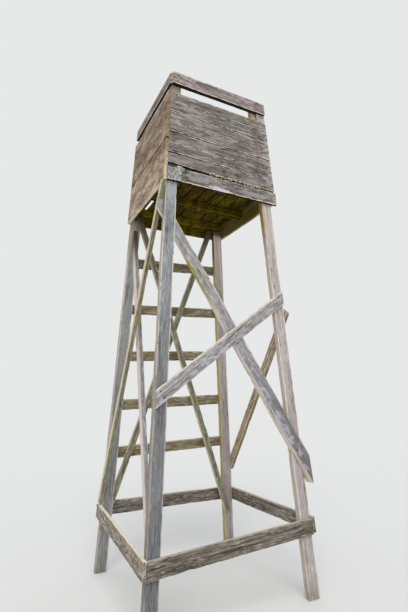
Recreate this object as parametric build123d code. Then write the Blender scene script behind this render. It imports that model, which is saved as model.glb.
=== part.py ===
from build123d import *
import math
import os

os.makedirs("parts", exist_ok=True)

# Main sizes in millimetres, heights counted from the ground
cabin_base = 3260
leg_spacing_x = 958
leg_spacing_y = 942
splay_x = 0.0554
splay_y = 0.0479
leg_wide = 100
leg_deep = 50

# Front of the cabin, heights counted from the cabin base
board_thick = 22
skirt_thick = 28
skirt_top = 127
first_board_bottom = 135
first_board_top = 258
front_boards_top = 890
front_board_count = 7
seam_gap = 2
rail_bottom = 973
rail_top = 1096
rail_thick = 40
board_overhang = 49
skirt_overhang = 57
rail_overhang = 43
back_overhang = 12

# Side walls, heights counted from the cabin base
side_wall_top = 887
side_board_thick = 26
left_panel_top = 400
left_upper_boards = 4
right_board_count = 8
side_rail_bottom = 955
side_rail_top = 1068
side_rail_thick = 25

# Floor, heights counted from the cabin base
joist_bottom = 74
joist_top = 149
joist_wide = 50
middle_joist_y = 20
floor_top = 171
floor_board_count = 7
floor_board_gap = 8
open_gap = 36
first_board_wide = 128
last_board_wide = 63

# Ladder rungs and base boards
rung_high = 98
rung_thick = 36
rung_level_1 = -393
rung_level_2 = -876
rung_level_3 = -1344
rung_level_4 = -1810
rung_level_5 = -2243
rung_tilt = 0.041
rung_inset = 20
base_high = 118
base_thick = 26
base_level = -2795
base_tilt = 0.06

# Braces run between two points, each a distance along its side and a height from the cabin base
short_brace_wide = 102
short_brace_thick = 30
short_left_x = -700
short_left_z = -1829
short_right_x = 620
short_right_z = -868
short_brace_inset = 14
long_brace_wide = 97
long_thin_end = 26
long_thick_end = 80
long_left_x = -505
long_left_z = -272
long_right_x = 644
long_right_z = -2246
long_brace_out = 48
long_left_reach = 37
long_right_reach = 35
outer_brace_wide = 46
outer_brace_thick = 36
outer_front_y = 499
outer_front_z = 30
outer_back_y = -653
outer_back_z = -2830
outer_brace_foot = -2675
inner_brace_wide = 84
inner_brace_end_wide = 44
inner_brace_thick = 37
inner_back_y = -526
inner_back_z = 0
inner_front_y = 640
inner_front_z = -3020
right_brace_wide = 79
right_brace_thick = 36
right_front_y = -548
right_front_z = -1025
right_back_y = 610
right_back_z = -2484
back_brace_wide = 55
back_brace_thick = 36
back_inner_left_x = 470
back_inner_left_z = 94
back_inner_right_x = -680
back_inner_right_z = -3074
back_inner_foot = -2900
back_middle_right_x = -412
back_middle_right_z = 130
back_middle_left_x = 715
back_middle_left_z = -3045


def half_x(z):
    return leg_spacing_x / 2 - splay_x * (z - cabin_base)


def half_y(z):
    return leg_spacing_y / 2 - splay_y * (z - cabin_base)


def at_x(side, out):
    """Distance outwards from the leg centre line on the left (-1) or right (1)."""
    return lambda z: side * (half_x(z) + out)


def at_y(side, out):
    """Distance outwards from the leg centre line at the front (-1) or back (1)."""
    return lambda z: side * (half_y(z) + out)


def fixed(value):
    return lambda z: value


def slab(z0, z1, x0, x1, y0, y1):
    """Timber with level top and bottom whose sides follow the taper of the tower."""
    faces = []
    for z in (cabin_base + z0, cabin_base + z1):
        corners = [(x0(z), y0(z), z), (x1(z), y0(z), z), (x1(z), y1(z), z), (x0(z), y1(z), z)]
        faces.append(Face(Wire.make_polygon(corners, close=True)))
    return loft(faces, ruled=True)


# Each side of the tower is a leaning plane through its leg centres, with x along and y up
front = Plane((0, -leg_spacing_y / 2, cabin_base), (1, 0, 0), (0, -1, splay_y))
back = Plane((0, leg_spacing_y / 2, cabin_base), (-1, 0, 0), (0, 1, splay_y))
left = Plane((-leg_spacing_x / 2, 0, cabin_base), (0, -1, 0), (-1, 0, splay_x))
right = Plane((leg_spacing_x / 2, 0, cabin_base), (0, 1, 0), (1, 0, splay_x))
slope_x = math.sqrt(1 + splay_x ** 2)
slope_y = math.sqrt(1 + splay_y ** 2)
leg_face_x = leg_wide / 2 / slope_x
leg_face_y = leg_deep / 2 / slope_y
half_wide = leg_wide / 2
half_deep = leg_deep / 2
room = 2 * leg_wide


def batten(plane, start, end, wide, thick, offset, slope, end_wide=None):
    """Straight timber on a side plane between two points given as (along, height)."""
    x0, y0 = start[0], start[1] * slope
    x1, y1 = end[0], end[1] * slope
    length = math.hypot(x1 - x0, y1 - y0)
    angle = math.degrees(math.atan2(y1 - y0, x1 - x0))
    half = wide / 2
    end_half = (end_wide or wide) / 2
    corners = [(0, -half, 0), (length, -end_half, 0), (length, end_half, 0), (0, half, 0)]
    outline = Face(Wire.make_polygon(corners, close=True))
    return plane * Pos(x0, y0, offset) * Rot(0, 0, angle) * extrude(outline, thick, dir=(0, 0, 1))


def between_levels(shape, z0, z1):
    """Ends a timber with level cuts at two heights."""
    block = slab(z0, z1, at_x(-1, room), at_x(1, room), at_y(-1, room), at_y(1, room))
    return shape & block


def evenly(bottom, top, count):
    """Heights of the seams between boards of equal width."""
    return [bottom + (top - bottom) * number / count for number in range(count + 1)]


pieces = {}

# Four splayed legs that run on as the corner posts of the cabin
for end_name, side_y, top in (("front", -1, rail_top), ("back", 1, side_rail_top)):
    for side_name, side_x in (("left", -1), ("right", 1)):
        pieces["leg_" + end_name + "_" + side_name] = slab(
            -cabin_base, top, at_x(side_x, -half_wide), at_x(side_x, half_wide),
            at_y(side_y, -half_deep), at_y(side_y, half_deep))
legs = list(pieces.values())

# Front of the cabin
pieces["front_skirt"] = slab(
    0, skirt_top, at_x(-1, half_wide), at_x(1, half_wide + skirt_overhang),
    at_y(-1, half_deep + skirt_thick), at_y(-1, half_deep))
seams = [first_board_bottom] + evenly(first_board_top, front_boards_top, front_board_count - 1)
for number in range(front_board_count):
    pieces["front_board_" + str(number + 1)] = slab(
        seams[number] + seam_gap, seams[number + 1],
        at_x(-1, half_wide), at_x(1, half_wide + board_overhang),
        at_y(-1, half_deep + board_thick), at_y(-1, half_deep))
pieces["front_rail"] = slab(
    rail_bottom, rail_top, at_x(-1, half_wide), at_x(1, half_wide + rail_overhang),
    at_y(-1, half_deep + rail_thick), at_y(-1, half_deep))

# Block between the top board and the rail, on the right leg
pieces["front_rail_block"] = slab(
    front_boards_top, rail_bottom, at_x(1, 0), at_x(1, half_wide + rail_overhang),
    at_y(-1, half_deep + board_thick), at_y(-1, half_deep))

# Side walls of the cabin, the left one over the ends of the front boards
left_seams = [0] + evenly(left_panel_top, side_wall_top, left_upper_boards)
right_seams = evenly(0, side_wall_top, right_board_count)
for side_name, side_x, cover, seams in (("left", -1, 1, left_seams), ("right", 1, 0, right_seams)):
    boards = []
    for number in range(len(seams) - 1):
        boards.append(slab(
            seams[number] + seam_gap * (number > 0), seams[number + 1],
            at_x(side_x, half_wide), at_x(side_x, half_wide + side_board_thick),
            at_y(-1, half_deep + cover * board_thick), at_y(1, half_deep + back_overhang)))
    pieces[side_name + "_wall_boards"] = Compound(boards)
    pieces[side_name + "_rail"] = slab(
        side_rail_bottom, side_rail_top, at_x(side_x, half_wide), at_x(side_x, half_wide + side_rail_thick),
        at_y(-1, half_deep + cover * rail_thick), at_y(1, half_deep + back_overhang))

# Back skirt below the entrance
pieces["back_skirt"] = slab(
    0, skirt_top, at_x(-1, half_wide), at_x(1, half_wide),
    at_y(1, half_deep), at_y(1, half_deep + skirt_thick))

# Three floor joists from wall to wall
joists = []
for y0, y1 in (
        (at_y(-1, -half_deep), at_y(-1, -half_deep - joist_wide)),
        (fixed(middle_joist_y - joist_wide / 2), fixed(middle_joist_y + joist_wide / 2)),
        (at_y(1, -half_deep - joist_wide), at_y(1, -half_deep))):
    joists.append(slab(joist_bottom, joist_top, at_x(-1, half_wide), at_x(1, half_wide), y0, y1))
pieces["floor_joists"] = Compound(joists)

# Floor boards laid from front to back, the outer ones between the legs, one gap left open
floor_half_x = half_x(cabin_base + floor_top)
floor_edge = floor_half_x + half_wide
clear_edge = floor_half_x - half_wide
pitch = (2 * floor_edge - first_board_wide - last_board_wide) / floor_board_count
gaps = [first_board_wide - floor_edge + pitch * number for number in range(floor_board_count + 1)]
starts = [-floor_edge, gaps[0] + open_gap / 2] + [gap + floor_board_gap / 2 for gap in gaps[1:]]
stops = [gaps[0] - open_gap / 2] + [gap - floor_board_gap / 2 for gap in gaps[1:]] + [floor_edge]
boards = []
for x0, x1 in zip(starts, stops):
    reach = half_deep if max(-x0, x1) < clear_edge else -half_deep
    boards.append(slab(joist_top, floor_top, fixed(x0), fixed(x1), at_y(-1, reach), at_y(1, reach)))
pieces["floor_boards"] = Compound(boards)

# Ladder rungs nailed across the back legs
rung_levels = (rung_level_1, rung_level_2, rung_level_3, rung_level_4, rung_level_5)
for number, level in enumerate(rung_levels):
    reach = half_x(cabin_base + level) + half_wide - rung_inset
    rise = reach * math.tan(rung_tilt)
    pieces["ladder_rung_" + str(number + 1)] = batten(
        back, (reach, level - rise), (-reach, level + rise), rung_high, rung_thick, leg_face_y, slope_y)

# Base boards round the feet
over_x = half_x(cabin_base + base_level) + room
over_y = half_y(cabin_base + base_level) + room
rise_x = over_x * base_tilt
rise_y = over_y * base_tilt
between_sides = slab(
    -cabin_base, 0, at_x(-1, half_wide), at_x(1, half_wide), at_y(-1, room), at_y(1, room))
over_ends = slab(
    -cabin_base, 0, at_x(-1, room), at_x(1, room),
    at_y(-1, half_deep + base_thick), at_y(1, half_deep + base_thick))
pieces["base_board_front"] = between_sides & batten(
    front, (-over_x, base_level - rise_x), (over_x, base_level + rise_x),
    base_high, base_thick, leg_face_y, slope_y)
pieces["base_board_back"] = between_sides & batten(
    back, (over_x, base_level + rise_x), (-over_x, base_level + rise_x),
    base_high, base_thick, leg_face_y, slope_y)
pieces["base_board_left"] = over_ends & batten(
    left, (over_y, base_level - rise_y), (-over_y, base_level + rise_y),
    base_high, base_thick, leg_face_x, slope_x)
pieces["base_board_right"] = over_ends & batten(
    right, (-over_y, base_level + rise_y), (over_y, base_level + rise_y),
    base_high, base_thick, leg_face_x, slope_x)

# Short front brace, on the faces of both front legs, ended plumb near their outer edges
short_brace_room = slab(
    -cabin_base, 0, at_x(-1, half_wide), at_x(1, half_wide - short_brace_inset),
    at_y(-1, room), at_y(-1, 0))
pieces["front_brace_short"] = short_brace_room & batten(
    front, (short_left_x, short_left_z), (short_right_x, short_right_z),
    short_brace_wide, short_brace_thick, leg_face_y, slope_y)

# Long front brace, from behind the left leg to before the right one, thicker at its lower end
behind = Vector(long_left_x, half_deep - half_y(cabin_base + long_left_z), cabin_base + long_left_z)
before = Vector(
    long_right_x, -half_y(cabin_base + long_right_z) - half_deep - long_brace_out, cabin_base + long_right_z)
long_length = (before - behind).length
along = (before - behind).normalized()
face_out = Vector(0, -1, splay_y)
face_out = (face_out - along * face_out.dot(along)).normalized()
narrow_side = Plane(behind, along, face_out.cross(along))
growth = (long_thick_end - long_thin_end) / long_length
corners = [
    (-room, 0, 0), (long_length + room, 0, 0),
    (long_length + room, long_thick_end + growth * room, 0), (-room, long_thin_end - growth * room, 0)]
long_brace_room = slab(
    -cabin_base, 0, at_x(-1, half_wide + long_left_reach), at_x(1, half_wide + long_right_reach),
    at_y(-1, room), at_y(-1, -room))
long_brace = long_brace_room & extrude(
    narrow_side * Face(Wire.make_polygon(corners, close=True)), long_brace_wide / 2, both=True)

# Left side: one batten on the outside, one tapering brace let in between the legs
pieces["left_brace_outer"] = between_levels(batten(
    left, (outer_front_y, outer_front_z), (outer_back_y, outer_back_z),
    outer_brace_wide, outer_brace_thick, leg_face_x, slope_x), outer_brace_foot, 0)
left_inner = batten(
    left, (inner_back_y, inner_back_z), (inner_front_y, inner_front_z),
    inner_brace_wide, inner_brace_thick, -inner_brace_thick / 2, slope_x, inner_brace_end_wide)

# Right side: one batten on the outside, from the front leg down to the back leg
pieces["right_brace"] = batten(
    right, (right_front_y, right_front_z), (right_back_y, right_back_z),
    right_brace_wide, right_brace_thick, leg_face_x, slope_x)

# Back: one brace on the inner leg faces, the other between the legs against the rungs
pieces["back_brace_inner"] = between_levels(batten(
    back, (back_inner_left_x, back_inner_left_z), (back_inner_right_x, back_inner_right_z),
    back_brace_wide, back_brace_thick, -leg_face_y - back_brace_thick, slope_y),
    back_inner_foot, joist_bottom)
back_middle = batten(
    back, (back_middle_right_x, back_middle_right_z), (back_middle_left_x, back_middle_left_z),
    back_brace_wide, back_brace_thick, leg_face_y - back_brace_thick, slope_y)

# Braces that meet a leg are cut to its faces
pieces["front_brace_long"] = long_brace - pieces["left_brace_outer"] - pieces["front_brace_short"]
pieces["left_brace_inner"] = left_inner
pieces["back_brace_middle"] = between_levels(back_middle, -cabin_base, joist_bottom)
for name in ("front_brace_long", "left_brace_inner", "back_brace_middle"):
    for leg in legs:
        pieces[name] = pieces[name] - leg
    solids = sorted(pieces[name].solids(), key=lambda solid: solid.volume)
    pieces[name] = solids[-1]

# The whole tower is centred over its feet
whole = Compound([solid for piece in pieces.values() for solid in piece.solids()]).bounding_box()
shift = Pos(-(whole.min.X + whole.max.X) / 2, -(whole.min.Y + whole.max.Y) / 2, -whole.min.Z)
for name, piece in pieces.items():
    export_step(shift * piece, "parts/" + name + ".step")
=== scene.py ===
import bmesh
import bpy
import math
from mathutils import Matrix, Vector, noise


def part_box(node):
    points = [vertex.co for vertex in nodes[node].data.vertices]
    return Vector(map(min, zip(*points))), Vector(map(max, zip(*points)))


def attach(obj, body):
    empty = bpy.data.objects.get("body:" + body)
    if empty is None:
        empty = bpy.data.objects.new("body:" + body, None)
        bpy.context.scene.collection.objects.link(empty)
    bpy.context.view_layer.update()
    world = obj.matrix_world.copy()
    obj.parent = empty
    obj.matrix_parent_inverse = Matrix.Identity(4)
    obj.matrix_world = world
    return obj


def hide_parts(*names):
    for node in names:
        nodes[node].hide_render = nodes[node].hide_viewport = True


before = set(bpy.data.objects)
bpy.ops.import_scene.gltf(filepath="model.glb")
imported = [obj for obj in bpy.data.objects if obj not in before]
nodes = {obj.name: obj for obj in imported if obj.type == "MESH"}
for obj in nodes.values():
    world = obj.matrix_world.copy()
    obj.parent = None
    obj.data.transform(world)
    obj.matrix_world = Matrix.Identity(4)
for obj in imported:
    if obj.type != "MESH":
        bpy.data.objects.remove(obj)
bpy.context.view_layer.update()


# The camera stands to the left of the front, at eye height, and looks up at the cabin. Its place, turn
# and lens are fitted to the lines of the legs, the board seams and the rungs.
def placed(name, data):
    """A new object in the scene."""
    thing = bpy.data.objects.new(name, data)
    bpy.context.scene.collection.objects.link(thing)
    return thing


camera_place = Matrix.Translation((-1.66108, -3.36617, 1.5105))
camera_yaw = 0.475067
camera_pitch = 0.216582
camera_roll = -0.0075695
camera_data = bpy.data.cameras.new("camera")
camera_data.lens = 24.009
camera_data.sensor_width = 36.0
camera = placed("camera", camera_data)
bpy.context.scene.camera = camera
sight = Vector((math.sin(camera_yaw) * math.cos(camera_pitch),
                math.cos(camera_yaw) * math.cos(camera_pitch),
                math.sin(camera_pitch)))
turn = sight.to_track_quat("-Z", "Y").to_matrix().to_4x4()
camera.matrix_world = camera_place @ turn @ Matrix.Rotation(camera_roll, 4, "Z")


# The legs are four sawn timbers of 100 x 50 mm, splayed, and run on as the corner posts of the cabin;
# all the rest is nailed to them. Years of rain have greyed them, rounded their edges and opened fine
# cracks along the grain.
def wander(*at):
    """Smooth noise, between about -1 and 1, at three numbers."""
    return noise.noise(Vector(at))


def flat_copy(node):
    """The node's solids as clean meshes of flat faces, one for each piece of timber."""
    whole = bmesh.new()
    whole.from_mesh(nodes[node].data)
    bmesh.ops.remove_doubles(whole, verts=whole.verts, dist=0.0002)
    bmesh.ops.dissolve_limit(whole, angle_limit=math.radians(0.3), verts=whole.verts, edges=whole.edges)
    whole.verts.index_update()
    left_over = dict.fromkeys(whole.faces)
    timbers = []
    while left_over:
        island = [left_over.popitem()[0]]
        for face in island:
            for edge in face.edges:
                for other in edge.link_faces:
                    if other in left_over:
                        del left_over[other]
                        island.append(other)
        timber = bmesh.new()
        made = {}
        for face in island:
            for corner in face.verts:
                if corner.index not in made:
                    made[corner.index] = timber.verts.new(corner.co)
        for face in island:
            timber.faces.new([made[corner.index] for corner in face.verts])
        timber.normal_update()
        timbers.append(timber)
    whole.free()
    upwards = Vector((0.01, 0.001, 1.0))
    timbers.sort(key=lambda t: sum(v.co.dot(upwards) for v in t.verts) / len(t.verts))
    return timbers


def axes_of(timber):
    """Directions along, across and through a piece of timber, its middle and its half sizes."""
    longest = max(timber.edges, key=lambda e: e.calc_length())
    along = (longest.verts[1].co - longest.verts[0].co).normalized()
    if along.z + 0.3 * (along.x + along.y) < 0:
        along.negate()
    widest = max(timber.faces, key=lambda f: f.calc_area() * (1 - abs(f.normal.dot(along))))
    through = (widest.normal - along * widest.normal.dot(along)).normalized()
    across = through.cross(along)
    if across.z + 0.2 * (across.x + across.y) < 0:
        across, through = -across, -through
    frame_of = Matrix((along, across, through))
    places = [frame_of @ v.co for v in timber.verts]
    low = Vector([min(p[i] for p in places) for i in range(3)])
    high = Vector([max(p[i] for p in places) for i in range(3)])
    return frame_of, (low + high) / 2, (high - low) / 2


def weathered(name, node, finish, seed, worn=0.004, wave=0.003, chips=0.004, step=0.03,
              narrower=None, level=None):
    """A worn copy of a node's timbers, with the axes of its grain written on it as attributes.

    worn is the rounding of the edges, wave how far the faces wander, chips how deep bites in the edges
    go, and step how close the cuts along the grain lie. narrower moves an edge in, and level is the
    brightness, which otherwise differs from timber to timber.
    """
    end_zone = 0.012
    end_cut = 0.004
    edge_zone = worn * 1.05
    vertices, polygons, place, half, tone = [], [], [], [], []
    for number, timber in enumerate(flat_copy(node)):
        own = seed * 7.31 + number * 1.77
        frame_of, middle, halves = axes_of(timber)
        back_again = frame_of.transposed()
        stations = int(2 * halves.x / step)
        for station in range(1, stations):
            cut = back_again @ (middle + Vector((halves.x * (2 * station / stations - 1), 0, 0)))
            geometry = list(timber.verts) + list(timber.edges) + list(timber.faces)
            bmesh.ops.bisect_plane(timber, geom=geometry, plane_co=cut, plane_no=frame_of[0])
        sharp = [e for e in timber.edges if len(e.link_faces) == 2 and e.calc_face_angle(0) > 0.5]
        bmesh.ops.bevel(timber, geom=sharp, offset=min(worn, halves.z * 0.45), segments=2,
                        affect="EDGES", profile=0.6, clamp_overlap=True)
        own_tone = [0.5 + 0.8 * wander(own * 3.7, k * 11.3, 0.7) for k in range(2)]
        brightness = level or 1.0 + 0.14 * wander(own * 2.9, 4.4, 1.3)
        start = len(vertices)
        timber.verts.index_update()
        for corner in timber.verts:
            spot = frame_of @ corner.co - middle
            side = 1 if spot.y > 0 else -1
            face = 1 if spot.z > 0 else -1
            drift = Vector((0, 0, 0))
            drift.y = wave * wander(spot.x * 3.1 + own, side * 5.3, 0.2)
            drift.z = wave * 0.5 * wander(spot.x * 2.3 + own, face * 3.7, 7.9)
            if halves.x - abs(spot.x) < end_zone:
                end = 1 if spot.x > 0 else -1
                drift.x = -end * end_cut * abs(wander(own, end * 9.1, 3.3))
            if halves.y - abs(spot.y) < edge_zone and halves.z - abs(spot.z) < edge_zone:
                chip = wander(spot.x * 16 + own, side * 4.9, face * 8.3)
                bite = max(0.0, chip - 0.2) * chips * 2.2
                drift.y -= side * bite
                drift.z -= face * bite * 0.6
            if narrower:
                drift.y += narrower(spot, halves, back_again @ (spot + middle))
            vertices.append(back_again @ (spot + drift + middle))
            place.append(spot)
            half.append(halves)
            tone.append(Vector((*own_tone, brightness)))
        for face in timber.faces:
            polygons.append([start + v.index for v in face.verts])
        timber.free()
    mesh = bpy.data.meshes.new(name)
    mesh.from_pydata(vertices, [], polygons)
    for label, values in (("place", place), ("half", half), ("tone", tone)):
        attribute = mesh.attributes.new(label, "FLOAT_VECTOR", "POINT")
        attribute.data.foreach_set("vector", [c for v in values for c in v])
    mesh.shade_smooth()
    mesh.set_sharp_from_angle(angle=math.radians(32))
    mesh.materials.append(finish)
    piece = placed(name, mesh)
    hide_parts(node)
    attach(piece, "root")
    return piece


def add_node(tree, kind, settings=None, values=None):
    """One node: its settings first, then the values or links of its sockets."""
    node = tree.nodes.new(kind)
    for label, setting in (settings or {}).items():
        setattr(node, label, setting)
    for key, value in (values or {}).items():
        value = getattr(value, "socket", value)
        if isinstance(value, bpy.types.NodeSocket):
            tree.links.new(value, node.inputs[key])
        else:
            node.inputs[key].default_value = value
    return node


def shade(red, green, blue, share=1.0):
    """A colour given as display values from 0 to 255, darkened to a share of its light."""
    linear = []
    for part in (red / 255, green / 255, blue / 255):
        linear.append(share * (part / 12.92 if part <= 0.04045 else ((part + 0.055) / 1.055) ** 2.4))
    return [*linear, 1.0]


class Value:
    """A number that varies over a surface; arithmetic on it adds Math nodes."""

    def __init__(self, finish, socket):
        self.finish = finish
        self.socket = socket

    def math(self, operation, first, second=0.0):
        node = self.finish.add("ShaderNodeMath", {"operation": operation}, {0: first, 1: second})
        return Value(self.finish, node.outputs[0])

    def __add__(self, other):
        return self.math("ADD", self, other)

    __radd__ = __add__

    def __mul__(self, other):
        return self.math("MULTIPLY", self, other)

    __rmul__ = __mul__

    def __sub__(self, other):
        return self.math("SUBTRACT", self, other)

    def __rsub__(self, other):
        return self.math("SUBTRACT", other, self)

    def least(self, other):
        return self.math("MINIMUM", self, other)

    def most(self, other):
        return self.math("MAXIMUM", self, other)

    def size(self):
        return self.math("ABSOLUTE", self)

    def root(self):
        return self.math("SQRT", self)

    def sine(self):
        return self.math("SINE", self)

    def step(self, low, high, start=0.0, end=1.0):
        """Runs smoothly from start to end as the value goes from low to high."""
        values = {"Value": self, "From Min": low, "From Max": high, "To Min": start, "To Max": end}
        node = self.finish.add("ShaderNodeMapRange", {"interpolation_type": "SMOOTHSTEP"}, values)
        return Value(self.finish, node.outputs["Result"])


class Finish:
    """The nodes of a surface finish, which is a material, or of the light all round."""

    def __init__(self, owner):
        self.owner = owner
        self.owner.use_nodes = True
        self.tree = self.owner.node_tree
        self.tree.nodes.clear()

    def add(self, kind, settings=None, values=None):
        return add_node(self.tree, kind, settings, values)

    def split(self, vector):
        node = self.add("ShaderNodeSeparateXYZ", values={"Vector": vector})
        return [Value(self, node.outputs[k]) for k in range(3)]

    def scaled(self, vector, factors, shift=(0.0, 0.0, 0.0)):
        """The vector times factors, moved by another vector."""
        values = {0: vector, 1: factors, 2: shift}
        return self.add("ShaderNodeVectorMath", {"operation": "MULTIPLY_ADD"}, values).outputs[0]

    def cloud(self, vector, scale=1.0, detail=3.0, rough=0.55, bend=0.0):
        values = {"Vector": vector, "Scale": scale, "Detail": detail, "Roughness": rough,
                  "Distortion": bend}
        return Value(self, self.add("ShaderNodeTexNoise", values=values).outputs[0])

    def near(self, vector, centre, sizes, ragged=2.0):
        """A blotch with a ragged edge round a point, from 1 inside to 0 outside."""
        factors = [1 / part for part in sizes]
        shift = [-c / part for c, part in zip(centre, sizes)]
        offset = self.scaled(vector, factors, shift)
        length = self.add("ShaderNodeVectorMath", {"operation": "LENGTH"}, {0: offset}).outputs["Value"]
        edge = self.cloud(vector, scale=34.0, detail=4.0, rough=0.6)
        return (Value(self, length) + (edge - 0.5) * ragged).step(0.7, 1.15, 1.0, 0.0)

    def blend(self, share, first, second, how="MIX"):
        """A mix of two colours, of which a tuple is display values from 0 to 255."""
        first, second = [shade(*c) if isinstance(c, tuple) else c for c in (first, second)]
        settings = {"data_type": "RGBA", "blend_type": how}
        return self.add("ShaderNodeMix", settings, {0: share, 6: first, 7: second}).outputs[2]

    def close(self, colour, roughness, height, depth, strength=0.6, metal=0.0):
        """Ends a material: its colour, roughness and bumps, which are depth high."""
        bump = self.add("ShaderNodeBump", values={
            "Strength": strength, "Distance": depth, "Height": height})
        values = {"Base Color": colour, "Roughness": roughness, "Normal": bump.outputs[0],
                  "Metallic": metal, "Specular IOR Level": 0.08}
        shader = self.add("ShaderNodeBsdfPrincipled", values=values)
        self.add("ShaderNodeOutputMaterial", values={"Surface": shader.outputs[0]})
        return self.owner


def aged_wood(name, tones, ends, coat=None, warm=0.4, patchy=0.4, streaky=1.0, fine=1.0, edge=0.6,
              arris=0.008, joint=0.0, ridges=0.0, saw=0.0):
    """Weathered timber: streaks and rings along the grain, knots, cracks, pale worn edges, dark ends.

    tones are the grey, brown, pale and dark of the faces, and ends the two tones of the cut ends. warm,
    patchy, streaky and fine say how much brown, pale blotches, dark streaks and fine fibres show. edge
    and arris are the strength and width of the worn edges, joint darkens the edges in a seam, ridges is
    the spacing of grooves, and saw the strength of saw marks. coat paints what one piece has alone.
    """
    # the share of painted shade on faces that look down
    painted_shade_below = 0.35
    crack_dirt = (40, 34, 30)
    joint_dirt = (14, 11, 4)
    saw_spacing = 0.017
    grey, brown, pale, dark = tones
    wood = Finish(bpy.data.materials.new(name))
    place, half, tone = [wood.add("ShaderNodeAttribute", {"attribute_name": label}).outputs["Vector"]
                         for label in ("place", "half", "tone")]
    wood.world = wood.add("ShaderNodeTexCoord").outputs["Object"]
    wood.x, wood.y, wood.height = wood.split(wood.world)
    wood.face_x, wood.face_y, wood.face_z = wood.split(wood.add("ShaderNodeNewGeometry").outputs["Normal"])
    own = wood.scaled(tone, (41.0, 67.0, 89.0))
    along, across, through = wood.split(place)
    half_long, half_wide, half_thick = wood.split(half)
    tone_a, tone_b, brightness = wood.split(tone)

    def grain(length_scale, width_scale, **kind):
        """Noise stretched along the grain, different on each timber."""
        return wood.cloud(wood.scaled(place, (length_scale, width_scale, width_scale), own), **kind)

    streaks = grain(2.2, 58.0, detail=6.0, rough=0.66, bend=0.2)
    bands = grain(0.9, 15.0, bend=0.5)
    fibres = grain(9.0, 125.0, rough=0.7)
    flecks = grain(17.0, 70.0, rough=0.6)
    blotch = grain(4.0, 22.0, detail=5.0, rough=0.68)
    warp = grain(1.3, 4.0, detail=2.0)

    # Year rings round a heart that lies outside the timber, so that its ends show arcs
    heart_y = across + (tone_a - 0.5) * 0.05 + warp * 0.012
    heart_z = through + 0.035 + (tone_b - 0.5) * 0.03
    rings = ((heart_y * heart_y + heart_z * heart_z).root() * 900.0 + warp * 9.0).sine() * 0.5 + 0.5

    surface = wood.blend(streaks.step(0.38, 0.59, 1.0 - streaky, 1.0), dark, grey)
    browner = (bands + (tone_b - 0.5) * 0.12).step(0.44, 0.58) * warm
    surface = wood.blend(browner.least(1.0), surface, brown)
    surface = wood.blend(blotch.step(0.52, 0.64) * patchy, surface, pale)
    surface = wood.blend(rings * 0.15, surface, dark)
    surface = wood.blend(fibres.step(0.54, 0.62) * 0.45 * fine, surface, pale)
    surface = wood.blend(fibres.step(0.36, 0.46, 0.6 * fine, 0.0), surface, dark)
    surface = wood.blend(flecks.step(0.55, 0.63) * blotch.step(0.38, 0.56) * 0.75 * fine, surface, pale)
    surface = wood.blend(flecks.step(0.37, 0.44, 0.55 * fine, 0.0), surface, dark)

    # Knots, darker than the wood round them
    cells = wood.add("ShaderNodeTexVoronoi", values={
        "Vector": wood.scaled(place, (4.5, 10.0, 10.0), own), "Scale": 1.0})
    chosen = wood.split(cells.outputs["Color"])[0].step(0.72, 0.76)
    from_knot = Value(wood, cells.outputs["Distance"]) + (flecks - 0.5) * 0.1
    knot = from_knot.step(0.05, 0.12, 1.0, 0.0) * chosen
    surface = wood.blend(knot * 0.6, surface, wood.blend(0.5, dark, brown, "MULTIPLY"))

    # Drying cracks run along the grain
    crack_line = grain(1.8, 60.0, detail=2.0, rough=0.5)
    crack_room = grain(1.6, 9.0, detail=1.0)
    crack = (crack_line - 0.5).size().step(0.008, 0.022, 1.0, 0.0) * crack_room.step(0.48, 0.58)
    surface = wood.blend(crack * 0.8, surface, wood.blend(0.75, dark, crack_dirt))
    height = streaks * 0.5 + fibres * 0.35 + rings * 0.1 - crack * 1.6 - knot * 0.3
    if ridges:
        ridge = (across * (2 * math.pi / ridges) + warp * 1.5).sine()
        groove = ridge.step(-0.95, -0.5, 1.0, 0.0)
        surface = wood.blend(groove * 0.9, surface, dark)
        height = height - groove * 1.2
    if saw:
        mark = (along * (2 * math.pi / saw_spacing) + warp * 14.0 + across * 9.0).sine() * 0.5 + 0.5
        surface = wood.blend(mark * saw, surface, dark)
        height = height - mark * saw

    # Worn edges are paler than the faces, and the cut ends darker, with their rings showing
    gap_x = half_long - along.size()
    gap_y = half_wide - across.size()
    gap_z = half_thick - through.size()
    nearest = gap_x.least(gap_y).most(gap_x.most(gap_y).least(gap_z))
    rim = nearest.step(0.001, arris, 1.0, 0.0)
    surface = wood.blend(rim * (blotch + flecks).step(0.7, 1.0) * edge, surface, pale)
    if joint:
        surface = wood.blend(gap_y.step(0.001, 0.008, 1.0, 0.0) * joint, surface, joint_dirt)
    end_face = gap_x.step(0.0004, 0.003, 1.0, 0.0)
    surface = wood.blend(end_face * 0.85, surface, wood.blend(rings * 0.6 + streaks * 0.3, *ends))

    # Rain does not reach the undersides, and they are painted darker, as painted shade
    under = wood.face_z.step(-0.85, -0.25, 1.0, 0.0) * painted_shade_below
    surface = wood.blend(under, surface, dark)

    if coat:
        wood.top_gap, wood.low_gap = half_wide - across, half_wide + across
        wood.blotch, wood.streaks, wood.flecks, wood.rim = blotch, streaks, flecks, rim
        surface = coat(wood, surface)
    tinted = wood.add("ShaderNodeVectorMath", {"operation": "SCALE"}, {0: surface, "Scale": brightness})
    return wood.close(tinted.outputs[0], 0.9 - streaks * 0.1, height, depth=0.003, strength=0.55)


cabin_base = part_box("front_skirt")[0].z


def indoors(wood, low, high):
    """The colour of faces that look into the cabin: damp just over the floor, dry above; both are painted
    dark, as painted shade inside the cabin.
    """
    return wood.blend(wood.height.step(cabin_base + 0.12, cabin_base + 0.2), low, high)


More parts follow.
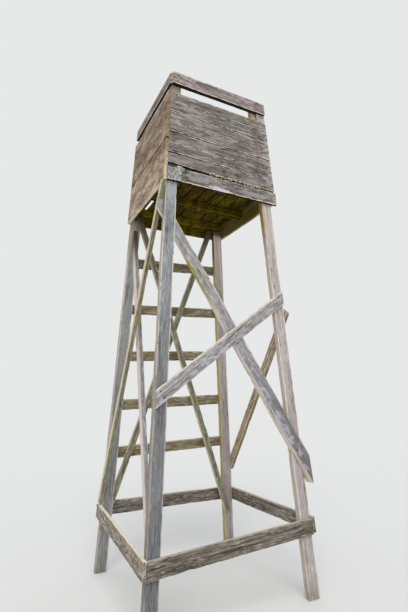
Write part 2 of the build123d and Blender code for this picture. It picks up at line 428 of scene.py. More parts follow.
def leg_coat(flank, flank_top, face_top, top_depth, arris, slot, low):
    """What one leg has alone.

    flank is its left face and flank_top the damp upper end of that; face_top is its front over the last
    top_depth below the cabin, on the back right leg a painted light against the cabin's shade; arris is its
    worn edges and the painted highlight along its right edge, slot its end in the lookout slot, and low how
    much darker it gets towards the foot.
    """
    foot_grey = (86, 86, 86)
    foot_green = (112, 112, 92)

    def coat(wood, surface):
        surface = wood.blend(wood.rim * wood.flecks.step(0.36, 0.5) * 0.85, surface, arris)
        # A pale line along the right edge of the front: partly a worn edge, partly a painted highlight.
        right_arris_wear_and_highlight = wood.top_gap.step(0.004, 0.012, 0.75, 0.0) * wood.flecks.step(0.36, 0.48)
        surface = wood.blend(right_arris_wear_and_highlight, surface, arris)
        turned = wood.face_x.step(-0.7, -0.3, 1.0, 0.0)
        side = wood.blend(wood.streaks.step(0.42, 0.54, 0.55, 0.0), flank, surface)
        damp = (wood.height + wood.blotch * 0.5).step(cabin_base - 0.25, cabin_base + 0.1)
        mossy = wood.blend(wood.flecks.step(0.42, 0.56), shade(*flank_top, 0.5), flank_top)
        side = wood.blend((damp + wood.flecks.step(0.53, 0.6) * 0.25).least(1.0), side, mossy)
        surface = wood.blend(turned * 0.92, surface, side)
        above = (wood.height + wood.blotch * 0.3).step(cabin_base - top_depth,
                                                       cabin_base - top_depth * 0.2 + 0.1)
        top = wood.blend(wood.streaks.step(0.44, 0.54), shade(*face_top, 0.68), face_top)
        surface = wood.blend(above * (1.0 - turned) * 0.75, surface, top)
        inside = wood.height.step(cabin_base, cabin_base + 0.05)
        inside = inside * wood.height.step(cabin_base + 0.84, cabin_base + 0.88, 1.0, 0.0)
        surface = wood.blend(inside * 0.85, surface, indoors(wood, (60, 54, 14), (112, 100, 74)))
        surface = wood.blend(wood.height.step(0.0, 3.0, low, 0.0), surface, foot_grey)
        in_slot = wood.height.step(cabin_base + 0.85, cabin_base + 0.88)
        surface = wood.blend(in_slot * 0.85, surface, slot)
        foot = wood.height.step(0.0, 0.22, 0.55, 0.0) * wood.blotch.step(0.35, 0.6)
        return wood.blend(foot, surface, foot_green)
    return coat


leg_looks = {
    "front_left": (
        ((148, 150, 153), (146, 143, 136), (194, 196, 199), (103, 105, 109)),
        leg_coat(flank=(198, 180, 162), flank_top=(132, 132, 106), face_top=(176, 178, 178), top_depth=0.04,
                 arris=(220, 216, 212), slot=(156, 146, 128), low=0.62)),
    "front_right": (
        ((192, 184, 183), (184, 172, 160), (226, 218, 214), (138, 128, 124)),
        leg_coat(flank=(204, 194, 180), flank_top=(166, 146, 44), face_top=(208, 196, 184), top_depth=0.5,
                 arris=(232, 224, 212), slot=(184, 174, 130), low=0.15)),
    "back_left": (
        ((156, 158, 157), (150, 149, 140), (197, 195, 193), (118, 119, 114)),
        leg_coat(flank=(210, 190, 180), flank_top=(170, 162, 124), face_top=(186, 180, 168), top_depth=0.4,
                 arris=(218, 204, 196), slot=(120, 112, 80), low=0.3)),
    # The back right leg's front is painted lighter below the cabin, as painted light where the cabin shades
    # it.
    "back_right": (
        ((182, 172, 172), (174, 160, 150), (212, 202, 200), (134, 124, 120)),
        leg_coat(flank=(186, 176, 84), flank_top=(120, 106, 4), face_top=(236, 222, 206), top_depth=0.6,
                 arris=(206, 194, 170), slot=(120, 112, 80), low=0.2)),
}
leg_ends = ((84, 78, 70), (136, 126, 112))
for seed, (side, (tones, coat)) in enumerate(leg_looks.items(), start=1):
    leg_wood = aged_wood("leg_wood_" + side, tones, leg_ends, coat, patchy=0.3, streaky=0.5, fine=0.6,
                         edge=0.3, arris=0.013)
    leg = weathered("leg_" + side + "_timber", "leg_" + side, leg_wood, seed, chips=0.003, level=1.0)


# The braces are odd lengths of the same stock and thinner battens, nailed across the legs. The two
# in front are lavender grey with cream upper edges, the battens at the sides and back are greener,
# and the one on the right is grooved.
def front_brace_coat(wood, surface):
    """Cream along the upper edge; a dark line and a strip of algae along the lower one, near the top."""
    upper_edge = wood.top_gap.step(0.002, 0.016, 1.0, 0.0) * wood.flecks.step(0.36, 0.5)
    surface = wood.blend(upper_edge * 0.8, surface, (226, 214, 192))
    surface = wood.blend(wood.face_z.step(0.15, 0.5) * 0.8, surface, (232, 222, 204))
    turned = (wood.face_y + 0.75).step(0.0, 0.35) * wood.face_z.step(-0.4, -0.1, 1.0, 0.0)
    edge_wood = wood.blend(wood.streaks.step(0.37, 0.46), (112, 92, 72), (232, 222, 206))
    surface = wood.blend(turned * 0.9, surface, edge_wood)
    low_end = wood.height.step(1.0, 2.2, 0.8, 0.0) * wood.x.step(-0.1, 0.3)
    surface = wood.blend(low_end * (1.0 - turned), surface, (104, 103, 106))
    algae = turned.most(wood.low_gap.step(0.003, 0.010, 1.0, 0.0))
    algae = algae * wood.height.step(2.1, 2.5) * wood.x.step(-0.42, -0.3)
    surface = wood.blend(algae * 0.9, surface, (160, 152, 52))
    bloom = wood.cloud(wood.world, scale=9.0, detail=5.0, rough=0.65).step(0.52, 0.6)
    return wood.blend(bloom * wood.low_gap.step(0.03, 0.06, 0.5, 0.1), surface, (202, 197, 210))


def batten_coat(outer, damp_and_shade_depth):
    """The side that looks away from the tower is bleached, and the upper end is painted dark brown, partly
    as damp and partly as painted shade under the cabin.
    """
    moss_spot = (-0.553, 0.014, 2.19)

    def coat(wood, surface):
        bleached = wood.face_x.step(-0.8, -0.45, 0.9, 0.0) * wood.flecks.step(0.3, 0.42, 0.5, 1.0)
        surface = wood.blend(bleached, surface, outer)
        under = wood.face_z.step(-0.6, -0.2, 0.6, 0.0) * wood.streaks.step(0.38, 0.6)
        surface = wood.blend(under, surface, (150, 142, 84))
        # The upper end just under the cabin is painted dark brown: partly damp, partly the painted shade of
        # the cabin.
        damp = wood.height.step(cabin_base - damp_and_shade_depth, cabin_base - damp_and_shade_depth + 0.4)
        surface = wood.blend(damp * wood.y.step(0.1, 0.25) * 0.9, surface, (72, 54, 20))
        moss = wood.near(wood.world, moss_spot, (0.09, 0.09, 0.12))
        return wood.blend(moss * wood.flecks.step(0.4, 0.52) * 0.8, surface, (150, 142, 40))
    return coat


brace_ends = ((110, 102, 92), (176, 164, 146))
front_brace_wood = aged_wood(
    "front_brace_wood", ((165, 164, 167), (156, 151, 138), (204, 201, 207), (114, 111, 108)),
    brace_ends, front_brace_coat, warm=0.5, patchy=0.3, streaky=0.6, edge=0.4, arris=0.010)
batten_wood = aged_wood(
    "batten_wood", ((138, 139, 121), (134, 128, 102), (186, 180, 158), (90, 90, 70)),
    brace_ends, batten_coat((218, 206, 176), 0.30), warm=0.45, patchy=0.3, streaky=0.7, arris=0.010)
lilac_wood = aged_wood(
    "lilac_wood", ((152, 152, 155), (146, 144, 140), (194, 190, 190), (106, 106, 106)),
    brace_ends, batten_coat((222, 206, 194), 0.58), patchy=0.3, streaky=0.7, arris=0.010)
ridged_wood = aged_wood(
    "ridged_wood", ((214, 198, 168), (202, 182, 144), (236, 224, 198), (76, 54, 34)),
    brace_ends, streaky=0.4, edge=0.8, ridges=0.0265)
brace_looks = {"front_brace_long": front_brace_wood, "front_brace_short": front_brace_wood,
               "left_brace_outer": batten_wood, "left_brace_inner": lilac_wood, "right_brace": ridged_wood,
               "back_brace_inner": batten_wood, "back_brace_middle": batten_wood}
for seed, (label, finish) in enumerate(brace_looks.items(), start=11):
    brace = weathered(label + "_timber", label, finish, seed, worn=0.003, level=1.0)


# The nails are of plain steel, gone rusty, with flat heads driven flush or a little askew. Two hold each
# front board, rail, rung and four of the braces wherever it crosses a leg, and rows of them hold the side
# walls.
splay_x = 0.0554
splay_y = 0.0479
leg_half_wide = 0.050
leg_half_deep = 0.025
feet = [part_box("leg_front_left"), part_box("leg_back_right")]
middle_x = (feet[0][0].x + feet[1][1].x) / 2
middle_y = (feet[0][0].y + feet[1][1].y) / 2
spread_x = (feet[1][1].x - feet[0][0].x) / 2 - leg_half_wide - splay_x * cabin_base
spread_y = (feet[1][1].y - feet[0][0].y) / 2 - leg_half_deep - splay_y * cabin_base


def on_side(side, span, rise, out):
    """A point span from the middle of a side and rise above the cabin's base, and that side's outward way.

    It lies out beyond the middles of the side's legs.
    """
    sign = 1 if side in ("back", "right") else -1
    level = cabin_base + rise
    if side in ("front", "back"):
        spot = Vector((middle_x + span, middle_y + sign * (spread_y - splay_y * rise + out), level))
        return spot, Vector((0, sign, splay_y)).normalized()
    spot = Vector((middle_x + sign * (spread_x - splay_x * rise + out), middle_y + span, level))
    return spot, Vector((sign, 0, splay_x)).normalized()


def legs_of(side):
    """How far apart the two legs of a side stand at the cabin's base, halved, and how they splay."""
    return (spread_x, splay_x) if side in ("front", "back") else (spread_y, splay_y)


def nails_of_brace(side, start, end, wide, out, legs=(-1, 1)):
    """Two nails wherever a brace from start to end, as (span, rise), crosses the middle of a leg."""
    spread, splay = legs_of(side)
    run, rise = end[0] - start[0], end[1] - start[1]
    length = math.hypot(run, rise)
    found = []
    for leg in legs:
        share = (leg * (spread - splay * start[1]) - start[0]) / (run + leg * splay * rise)
        for part in (-0.27, 0.27):
            slip = 0.016 * wander(share * 9.1 + leg, part * 7.7, wide * 31)
            span = start[0] + share * run - rise / length * wide * part + run / length * slip
            level = start[1] + share * rise + run / length * wide * part + rise / length * slip
            found.append(on_side(side, span, level, out))
    return found


def grown(name, tree, inputs, points=None):
    """The plain mesh that a Geometry Nodes tree makes, of some points or of none, as a piece of its own."""
    holder = placed(name + "_points", points or bpy.data.meshes.new(name + "_points"))
    growth = holder.modifiers.new(name, "NODES")
    growth.node_group = tree
    for socket in tree.interface.items_tree:
        if socket.name in inputs:
            growth[socket.identifier] = inputs[socket.name]
    mesh = bpy.data.meshes.new_from_object(holder.evaluated_get(bpy.context.evaluated_depsgraph_get()))
    bpy.data.objects.remove(holder)
    mesh.name = name
    piece = placed(name, mesh)
    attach(piece, "root")
    return piece


def new_tree(name, inputs):
    """An empty Geometry Nodes tree with its named inputs, and the outputs of its input node."""
    tree = bpy.data.node_groups.new(name, "GeometryNodeTree")
    for label, kind in inputs.items():
        tree.interface.new_socket(label, in_out="INPUT", socket_type="NodeSocket" + kind)
    tree.interface.new_socket("Result", in_out="OUTPUT", socket_type="NodeSocketGeometry")
    return tree, add_node(tree, "NodeGroupInput").outputs


def at_random(tree, low, high, seed):
    """A random vector for each point, between two vectors."""
    node = add_node(tree, "FunctionNodeRandomValue", {"data_type": "FLOAT_VECTOR"},
                    {"Min": low, "Max": high, "Seed": seed})
    return node.outputs["Value"]


def instanced(tree, points, shape, rotation, scale, finish):
    """Ends a tree: the shape on each point, made real and given its material."""
    copies = add_node(tree, "GeometryNodeInstanceOnPoints", values={
        "Points": points, "Instance": shape, "Rotation": rotation, "Scale": scale})
    solid = add_node(tree, "GeometryNodeRealizeInstances", values={"Geometry": copies.outputs["Instances"]})
    painted = add_node(tree, "GeometryNodeSetMaterial", values={
        "Geometry": solid.outputs["Geometry"], "Material": finish})
    add_node(tree, "NodeGroupOutput", values={0: painted.outputs["Geometry"]})


rust = Finish(bpy.data.materials.new("nail_steel"))
rust_cloud = rust.cloud(rust.add("ShaderNodeTexCoord").outputs["Object"], scale=420.0, detail=4.0,
                        rough=0.6)
rust_colour = rust.blend(rust_cloud.step(0.4, 0.6), (48, 39, 34), (98, 74, 56))
nail_steel = rust.close(rust_colour, 0.75 - rust_cloud * 0.2, rust_cloud, depth=0.0006, strength=0.5,
                        metal=0.3)

nail_tree, given = new_tree("nail_tree", {
    "Points": "Geometry", "Head radius": "Float", "Head depth": "Float", "Seed": "Int"})
nail_head = add_node(nail_tree, "GeometryNodeMeshCylinder", values={
    "Vertices": 10, "Radius": given["Head radius"], "Depth": given["Head depth"]})
outward = add_node(nail_tree, "GeometryNodeInputNamedAttribute", {"data_type": "FLOAT_VECTOR"},
                   {"Name": "outward"})
aimed = add_node(nail_tree, "FunctionNodeAlignRotationToVector", {"axis": "Z"},
                 {"Vector": outward.outputs["Attribute"]})
askew = at_random(nail_tree, (-0.14, -0.14, 0.0), (0.14, 0.14, 6.28), given["Seed"])
tilted = add_node(nail_tree, "FunctionNodeRotateRotation", {"rotation_space": "LOCAL"},
                  {"Rotation": aimed.outputs["Rotation"], "Rotate By": askew})
head_scale = add_node(nail_tree, "FunctionNodeRandomValue", {"data_type": "FLOAT"},
                      {2: 0.85, 3: 1.2, "Seed": given["Seed"]})
instanced(nail_tree, given["Points"], nail_head.outputs["Mesh"], tilted.outputs["Rotation"],
          head_scale.outputs[1], nail_steel)


def driven_nails(name, places, radius=0.005):
    """Nail heads on points, each turned outwards and a little askew."""
    points = bpy.data.meshes.new(name + "_points")
    points.from_pydata([spot for spot, outward in places], [], [])
    directions = points.attributes.new("outward", "FLOAT_VECTOR", "POINT")
    directions.data.foreach_set("vector", [c for spot, outward in places for c in outward])
    sizes = {"Head radius": radius, "Head depth": 0.004, "Seed": len(places)}
    return grown(name, nail_tree, sizes, points)


driven_nails("brace_nails",
             nails_of_brace("front", (-0.700, -1.829), (0.620, -0.868), wide=0.102, out=0.055)
             + nails_of_brace("front", (-0.505, -0.272), (0.644, -2.246), wide=0.097, out=0.070, legs=(1,))
             + nails_of_brace("left", (-0.499, 0.030), (0.653, -2.830), wide=0.046, out=0.086)
             + nails_of_brace("right", (-0.548, -1.025), (0.610, -2.484), wide=0.079, out=0.086),
             radius=0.0048)


# The ladder is five rungs of rough-sawn board, nailed across the outside of the back legs, each a
# little out of level. Four boards of the same kind tie the feet together on the outside.
def rung_coat(wood, surface):
    """Feet and rain have bleached the top edges."""
    upper_edge = wood.top_gap.step(0.002, 0.014, 1.0, 0.0) * wood.flecks.step(0.4, 0.5)
    surface = wood.blend(upper_edge * 0.7, surface, (196, 186, 162))
    return wood.blend(wood.face_z.step(0.3, 0.7) * 0.8, surface, (210, 202, 184))


rung_wood = aged_wood(
    "rung_wood", ((158, 149, 122), (148, 130, 98), (202, 192, 166), (82, 75, 50)),
    ((70, 62, 50), (126, 114, 94)), rung_coat, warm=0.6, patchy=0.3, streaky=0.8, edge=0.5, saw=0.2)
rung_places = ((-0.393, 1.0), (-0.876, 0.98), (-1.344, 1.05), (-1.810, 0.98), (-2.243, 1.0))
rung_slope = 0.0205
rung_nails = []
for number, (rise, level) in enumerate(rung_places, start=1):
    label = "ladder_rung_" + str(number)
    rung = weathered(label + "_board", label, rung_wood, number + 20, level=level)
    rung_nails += nails_of_brace("back", (0.5, rise - rung_slope), (-0.5, rise + rung_slope),
                                 wide=0.098, out=0.061)
driven_nails("rung_nails", rung_nails)

base_wood = aged_wood(
    "base_wood", ((150, 142, 130), (136, 124, 108), (200, 192, 182), (82, 76, 66)),
    ((58, 50, 42), (120, 110, 98)), rung_coat, warm=0.5, saw=0.15)
base_levels = {"front": 0.72, "left": 1.22, "right": 0.85, "back": 0.8}
for seed, (side, level) in enumerate(base_levels.items(), start=31):
    label = "base_board_" + side
    board = weathered(label + "_plank", label, base_wood, seed, level=level)


# The floor is nine boards that run from front to back, nailed on three joists, and a skirt board
# closes it at the back. It never sees sun, so it is brown-black below with a film of algae.
def floor_coat(wood, surface):
    """Green-brown below with a painted highlight along the joists' edges, worn brown on top, and grey on the
    side that looks out at the back.
    """
    film = wood.cloud(wood.scaled(wood.world, (9.0, 3.0, 3.0)), detail=5.0, rough=0.65)
    surface = wood.blend(film.step(0.48, 0.60) * 0.6, surface, (108, 100, 0))
    surface = wood.blend(film.step(0.38, 0.47, 0.6, 0.0), surface, (86, 56, 12))
    surface = wood.blend(wood.flecks.step(0.38, 0.48, 0.5, 0.0), surface, (24, 18, 0))
    # The edges of the joists are painted paler olive, as a painted highlight.
    joist_edge_highlight = wood.rim * wood.height.step(cabin_base + 0.1, cabin_base + 0.13, 0.6, 0.0)
    surface = wood.blend(joist_edge_highlight, surface, (128, 116, 20))
    open_air = wood.face_z.step(0.4, 0.8).most(wood.face_y.step(0.5, 0.8) * wood.y.step(0.40, 0.48))
    worn = wood.blend(wood.streaks.step(0.4, 0.58), (84, 74, 58), (132, 120, 98))
    return wood.blend(open_air * 0.85, surface, worn)


tight_seam_x = -0.2667
tight_seam_end = -0.10


def tighter_seam(spot, halves, here):
    """One seam between floor boards is half as wide towards the front, where no light comes through."""
    if abs(here.x - tight_seam_x) > 0.0075 or here.y > tight_seam_end:
        return 0.0
    return (tight_seam_x - here.x) * 0.6 * min(1.0, (tight_seam_end - here.y) / 0.04)


floor_wood = aged_wood(
    "floor_wood", ((88, 74, 8), (98, 68, 14), (118, 104, 30), (30, 23, 0)),
    ((40, 32, 10), (74, 62, 24)), floor_coat, warm=0.6, edge=0.2, joint=0.97)
floor_levels = {"floor_joists": 1.25, "floor_boards": None, "back_skirt": 1.1}
for seed, (label, level) in enumerate(floor_levels.items(), start=41):
    narrower = tighter_seam if label == "floor_boards" else None
    piece = weathered(label + "_timber", label, floor_wood, seed, worn=0.003, narrower=narrower, level=level)


# The front of the cabin is a skirt and seven boards of softwood, nailed on the legs. Their seams have
# opened unevenly, widest above the skirt at the left.
def front_coat(wood, surface):
    """Lavender bloom, pale flecks along the seams that are partly painted highlights, a bleached right end,
    painted near-black shade on the undersides, and a green-brown inside.
    """
    bloom = wood.cloud(wood.scaled(wood.world, (3.5, 3.5, 11.0)), detail=5.0, rough=0.66)
    surface = wood.blend(bloom.step(0.50, 0.62) * 0.4, surface, (182, 170, 172))
    surface = wood.blend(bloom.step(0.38, 0.49, 0.3, 0.0), surface, (112, 109, 94))
    # Pale flecks along the upper and lower edges of each board: partly worn edges, partly painted highlights
    # where the edges catch light.
    lit = wood.top_gap.step(0.003, 0.013, 1.0, 0.0) * wood.flecks.step(0.45, 0.56)
    surface = wood.blend(lit * 0.85, surface, (214, 204, 196))
    arris = wood.low_gap.step(0.004, 0.011, 1.0, 0.0) * wood.flecks.step(0.46, 0.54)
    surface = wood.blend(arris * 0.85, surface, (216, 208, 200))
    bleached = (wood.x - 0.44).step(0.0, 0.11) * (wood.blotch + wood.flecks).step(0.85, 1.1)
    surface = wood.blend(bleached * 0.6, surface, (206, 198, 192))
    rotten = wood.near(wood.world, (0.16, -0.51, 3.408), (0.40, 0.1, 0.018), ragged=0.3)
    surface = wood.blend(rotten * wood.flecks.step(0.48, 0.56) * 0.8, surface, (190, 178, 146))
    stain = ((wood.x - 0.40).size() + wood.blotch * 0.03).step(0.012, 0.03, 1.0, 0.0)
    surface = wood.blend(stain * 0.3, surface, (84, 72, 64))
    for spot in ((0.165, -0.498, 3.55), (0.171, -0.502, 3.458), (0.024, -0.502, 3.47)):
        surface = wood.blend(wood.near(wood.world, spot, (0.03, 0.05, 0.018)) * 0.6, surface, (66, 58, 50))
    # The undersides are painted near black, as painted shade.
    near_black_underside_shade = wood.face_z.step(-0.7, -0.3, 0.95, 0.0)
    surface = wood.blend(near_black_underside_shade, surface, (16, 13, 8))
    inward = wood.face_y.step(0.35, 0.75) * 0.75
    return wood.blend(inward, surface, indoors(wood, (72, 64, 24), (118, 106, 82)))


def skirt_coat(wood, surface):
    """Grey-white lichen at the left end, a cream lower edge, a pale patch in the middle, and painted shade
    on the underside.
    """
    surface = front_coat(wood, surface)
    speckle = wood.cloud(wood.world, scale=75.0, detail=4.0, rough=0.65)
    left_end = wood.near(wood.world, (-0.46, -0.515, 3.32), (0.085, 0.1, 0.085))
    surface = wood.blend(left_end * 0.5, surface, (132, 138, 142))
    surface = wood.blend(left_end * speckle.step(0.52, 0.60) * 0.75, surface, (212, 210, 206))
    patch = wood.near(wood.world, (-0.03, -0.517, 3.279), (0.10, 0.1, 0.022))
    surface = wood.blend(patch * 0.8, surface, (214, 204, 220))
    lower_edge = wood.low_gap.step(0.005, 0.013, 1.0, 0.0) * wood.face_z.step(-0.6, -0.3)
    lower_edge = lower_edge * (wood.x + 0.46).step(0.0, 0.05) * wood.flecks.step(0.36, 0.48)
    surface = wood.blend(lower_edge * 0.85, surface, (228, 212, 190))
    algae = wood.top_gap.step(0.0, 0.007, 1.0, 0.0) * wood.x.step(-0.4, -0.2)
    surface = wood.blend(algae * 0.8, surface, (128, 112, 44))
    # The underside is painted dark brown-black, as painted shade.
    return wood.blend(wood.face_z.step(-0.8, -0.5, 0.95, 0.0), surface, (38, 28, 6))


def nails_of_board(label, side, out, row):
    """Nails in a board of a side, row from its lower and upper edges, where it crosses the two legs."""
    low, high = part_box(label)
    spread, splay = legs_of(side)
    found = []
    for level in (low.z + row, high.z - row):
        rise = level - cabin_base
        for leg in (-1, 1):
            slip = 0.02 * wander(level * 57, leg * 3.3, out * 90)
            found.append(on_side(side, leg * (spread - splay * rise) + slip, rise, out))
    return found


def opened_seam(left, right, own):
    """Raises the lower edge of a board, so that the seam under it opens by left and right at its ends."""
    def lift(spot, halves, here):
        if spot.y > 0:
            return 0.0
        run = 0.5 + 0.5 * spot.x / halves.x
        return left * (1 - run) ** 2 + right * run + 0.0016 * wander(spot.x * 22, own, 0.4)
    return lift


wall_ends = ((96, 86, 74), (150, 136, 116))
front_wood = aged_wood(
    "front_wood", ((139, 132, 125), (116, 107, 92), (192, 182, 176), (60, 54, 48)),
    wall_ends, front_coat, warm=0.55, patchy=0.45, streaky=0.7, fine=0.75, edge=0.45)
skirt_wood = aged_wood(
    "skirt_wood", ((131, 129, 120), (113, 109, 95), (184, 180, 173), (62, 60, 52)),
    wall_ends, skirt_coat, warm=0.5, edge=0.5, saw=0.25)
seams_and_levels = ((0.030, 0.006, 0.82), (0.009, 0.0, 0.91), (0.001, 0.001, 0.92), (0.007, 0.006, 0.96),
                    (0.001, 0.001, 0.97), (0.006, 0.006, 0.98), (0.002, 0.003, 1.0))
board_face = 0.047
skirt_face = 0.053
front_nails = []
for number, (left, right, level) in enumerate(seams_and_levels):
    label = "front_board_" + str(number + 1)
    board = weathered(label + "_plank", label, front_wood, number + 51, worn=0.003, chips=0.005, step=0.015,
                      narrower=opened_seam(left, right, number * 3.1), level=level)
    front_nails += nails_of_board(label, "front", board_face, row=0.025)
skirt = weathered("front_skirt_plank", "front_skirt", skirt_wood, 61, chips=0.010, step=0.012, level=1.05)
front_nails += nails_of_board("front_skirt", "front", skirt_face, row=0.030)
driven_nails("front_nails", front_nails, radius=0.0042)


# Crumbs of lichen and rotten wood, a few millimetres to 3 cm long, lie loose in the open seam over the
# skirt. At its left end a splinter has torn off the lowest board and hangs in the same seam.
crumb_tree, given = new_tree("crumb_tree", {
    "Points": "Geometry", "Start": "Vector", "End": "Vector", "Count": "Int", "Smallest": "Vector",
    "Largest": "Vector", "Spread": "Vector", "Seed": "Int"})
row = add_node(crumb_tree, "GeometryNodeMeshLine", {"mode": "END_POINTS"},
               {"Count": given["Count"], "Start Location": given["Start"], "Offset": given["End"]})
back_spread = add_node(crumb_tree, "ShaderNodeVectorMath", {"operation": "SCALE"},
                       {0: given["Spread"], "Scale": -1.0})
strewn = at_random(crumb_tree, back_spread.outputs[0], given["Spread"], given["Seed"])
moved = add_node(crumb_tree, "GeometryNodeSetPosition", values={
    "Geometry": row.outputs["Mesh"], "Offset": strewn})
lump = add_node(crumb_tree, "GeometryNodeMeshIcoSphere", values={"Radius": 1.0, "Subdivisions": 1})
rolled = at_random(crumb_tree, (-0.4, -0.4, -0.4), (0.4, 0.4, 0.4), given["Seed"])
lump_scale = at_random(crumb_tree, given["Smallest"], given["Largest"], given["Seed"])
lichen = Finish(bpy.data.materials.new("lichen"))
lichen_cloud = lichen.cloud(lichen.add("ShaderNodeTexCoord").outputs["Object"], scale=60.0, detail=4.0,
                            rough=0.7)
lichen_colour = lichen.blend(lichen_cloud.step(0.42, 0.52), (104, 92, 56), (206, 196, 162))
crumb_finish = lichen.close(lichen_colour, 0.9 - lichen_cloud * 0.1, lichen_cloud, depth=0.001)
instanced(crumb_tree, moved.outputs["Geometry"], lump.outputs["Mesh"], rolled, lump_scale, crumb_finish)
crumb_ends = [on_side("front", span, rise, board_face)[0] for span, rise in ((-0.17, 0.148), (0.50, 0.142))]
grown("skirt_crumbs", crumb_tree,
      {"Start": crumb_ends[0], "End": crumb_ends[1], "Count": 48, "Smallest": (0.003, 0.002, 0.002),
       "Largest": (0.017, 0.006, 0.011), "Spread": (0.055, 0.003, 0.014), "Seed": 5})
splinter_ends = [on_side("front", span, 0.131, 0.050)[0] for span in (-0.43, -0.375)]
grown("skirt_splinter", crumb_tree,
      {"Start": splinter_ends[0], "End": splinter_ends[1], "Count": 6, "Smallest": (0.008, 0.003, 0.003),
       "Largest": (0.018, 0.005, 0.008), "Spread": (0.006, 0.003, 0.005), "Seed": 8})


# The side walls are wide softwood boards nailed on the outside of the legs. They are browner than the
# front, because less rain reaches them, and one seam of the left wall has opened.
def side_coat(wood, surface):
    """Pink-brown outside with a cream lower edge, a tan front end and one open seam; olive inside."""
    seam_level = cabin_base + 0.403
    pores = wood.cloud(wood.world, scale=55.0, detail=4.0, rough=0.7)
    mottle = wood.cloud(wood.scaled(wood.world, (4.0, 4.0, 9.0)), detail=5.0, rough=0.65)
    surface = wood.blend(mottle.step(0.42, 0.49, 0.75, 0.0), surface, (114, 94, 74))
    surface = wood.blend(mottle.step(0.53, 0.60) * 0.75, surface, (202, 184, 164))
    surface = wood.blend(pores.step(0.34, 0.44, 0.6, 0.0), surface, (96, 76, 58))
    surface = wood.blend(pores.step(0.56, 0.62) * 0.5, surface, (218, 202, 182))
    front_end = wood.y.step(-0.49, -0.44, 0.7, 0.0)
    surface = wood.blend(front_end * wood.blotch.step(0.4, 0.55, 1.0, 0.4), surface, (146, 126, 96))
    chalky = (wood.y + wood.blotch * 0.02).step(-0.485, -0.46, 1.0, 0.0)
    chalky = chalky * wood.height.step(cabin_base + 0.45, cabin_base)
    surface = wood.blend(chalky * wood.flecks.step(0.38, 0.5), surface, (216, 196, 164))
    seam = (wood.height + pores * 0.006 - seam_level).size().step(0.004, 0.016, 1.0, 0.0)
    surface = wood.blend(seam * mottle.step(0.62, 0.50) * 0.92, surface, (26, 20, 10))
    surface = wood.blend(wood.height.step(cabin_base + 0.15, cabin_base + 0.6, 0.0, 0.4), surface,
                         (98, 80, 60))
    low_edge = wood.height.step(cabin_base + 0.001, cabin_base + 0.010, 1.0, 0.0)
    low_edge = low_edge * wood.flecks.step(0.34, 0.48) * wood.x.step(-0.1, 0.1, 0.85, 0.0)
    surface = wood.blend(low_edge, surface, (236, 222, 196))
    inward = (wood.face_x * wood.x).step(-0.4, -0.1, 1.0, 0.0)
    return wood.blend(inward * 0.85, surface, indoors(wood, (88, 82, 0), (118, 106, 78)))


side_wood = aged_wood(
    "side_wood", ((178, 159, 138), (160, 137, 110), (212, 196, 176), (112, 92, 72)),
    ((120, 98, 66), (206, 186, 150)), side_coat, warm=0.5, streaky=0.7, edge=0.3, joint=0.5)
side_nail_rises = (0.04, 0.13, 0.22, 0.33, 0.43, 0.50, 0.55, 0.62, 0.67, 0.74, 0.79, 0.86)
wall_face = 0.076
side_nails = []
for seed, side in enumerate(("left", "right")):
    boards = weathered(side + "_wall_planks", side + "_wall_boards", side_wood, seed + 71, worn=0.003,
                       wave=0.002, level=1.0)
    for rise in side_nail_rises:
        for leg in (-1, 1):
            slip = 0.02 * wander(rise * 57, leg * 3.3, seed * 9.0)
            side_nails.append(on_side(side, leg * (spread_y - splay_y * rise) + slip, rise, wall_face))
driven_nails("side_nails", side_nails, radius=0.0042)


# The top rails are thick planks on edge, nailed to the tops of the legs as a rest for the arms, over
# the open slot. A block of the same wood sits in the slot, on the front of the right leg.
def rail_coat(wood, surface):
    """As the front boards, with a cream lower edge."""
    surface = front_coat(wood, surface)
    lower_edge = wood.low_gap.step(0.004, 0.012, 1.0, 0.0) * wood.face_z.step(-0.6, -0.3)
    return wood.blend(lower_edge * wood.flecks.step(0.36, 0.48) * 0.85, surface, (226, 208, 190))


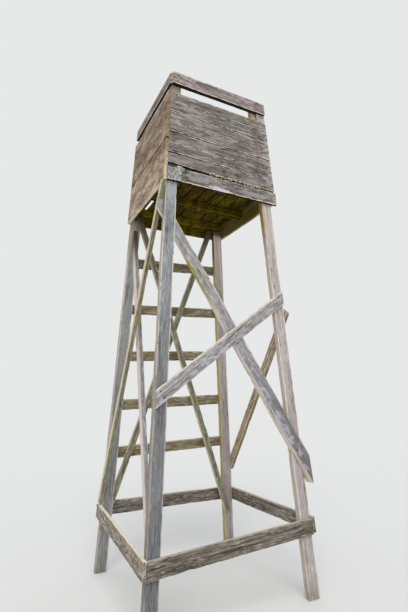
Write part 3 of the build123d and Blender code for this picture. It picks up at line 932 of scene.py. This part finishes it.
rail_look = {"ends": wall_ends, "coat": rail_coat, "warm": 0.5, "streaky": 0.8, "edge": 0.45}
rail_wood = aged_wood(
    "rail_wood", ((160, 150, 146), (144, 130, 118), (208, 196, 192), (84, 76, 70)), **rail_look)
side_rail_wood = aged_wood(
    "side_rail_wood", ((150, 138, 122), (136, 122, 102), (196, 184, 166), (78, 68, 56)), **rail_look)
rails = {"front": (rail_wood, 0.065), "left": (side_rail_wood, 0.075), "right": (side_rail_wood, 0.075)}
rail_nails = []
for seed, (side, (finish, face)) in enumerate(rails.items(), start=81):
    rail = weathered(side + "_rail_plank", side + "_rail", finish, seed, chips=0.006, step=0.015, level=1.0)
    rail_nails += nails_of_board(side + "_rail", side, face, row=0.032)
block = weathered("front_rail_spacer", "front_rail_block", rail_wood, 85, worn=0.003, wave=0.001,
                  level=1.15)
driven_nails("rail_nails", rail_nails)


# The tower stands on a plain pale floor, which isn't part of it. Soft light comes from all round, and
# a wide, weak lamp shines from the front left.
floor_reach = 60
ground_mesh = bpy.data.meshes.new("ground")
ground_mesh.from_pydata([(-floor_reach, -floor_reach, 0), (floor_reach, -floor_reach, 0),
                         (floor_reach, floor_reach, 0), (-floor_reach, floor_reach, 0)], [], [(0, 1, 2, 3)])
ground = placed("ground", ground_mesh)
ground_finish = Finish(bpy.data.materials.new("ground_finish"))
ground_shader = ground_finish.add("ShaderNodeBsdfPrincipled", values={
    "Base Color": (0.70, 0.70, 0.69, 1), "Roughness": 0.95})
ground_finish.add("ShaderNodeOutputMaterial", values={"Surface": ground_shader.outputs[0]})
ground_mesh.materials.append(ground_finish.owner)

bpy.context.scene.world = bpy.data.worlds.new("sky")
sky = Finish(bpy.context.scene.world)
paths = sky.add("ShaderNodeLightPath").outputs
shown = Value(sky, paths["Is Camera Ray"]).most(paths["Is Glossy Ray"]).most(paths["Is Transmission Ray"])
soft = sky.add("ShaderNodeBackground", values={"Color": (0.97, 0.98, 1.0, 1), "Strength": 0.80})
seen = sky.add("ShaderNodeBackground", values={"Color": (0.80, 0.81, 0.81, 1), "Strength": 1.0})
choice = sky.add("ShaderNodeMixShader", values={0: shown, 1: soft.outputs[0], 2: seen.outputs[0]})
sky.add("ShaderNodeOutputWorld", values={"Surface": choice.outputs[0]})

lamp_data = bpy.data.lights.new("daylight", "SUN")
lamp_data.energy = 1.4
lamp_data.angle = math.radians(40)
lamp = placed("daylight", lamp_data)
lamp.rotation_euler = Vector((0.35, 0.75, -1.0)).to_track_quat("-Z", "Y").to_euler()
bpy.context.scene.view_settings.view_transform = "Standard"
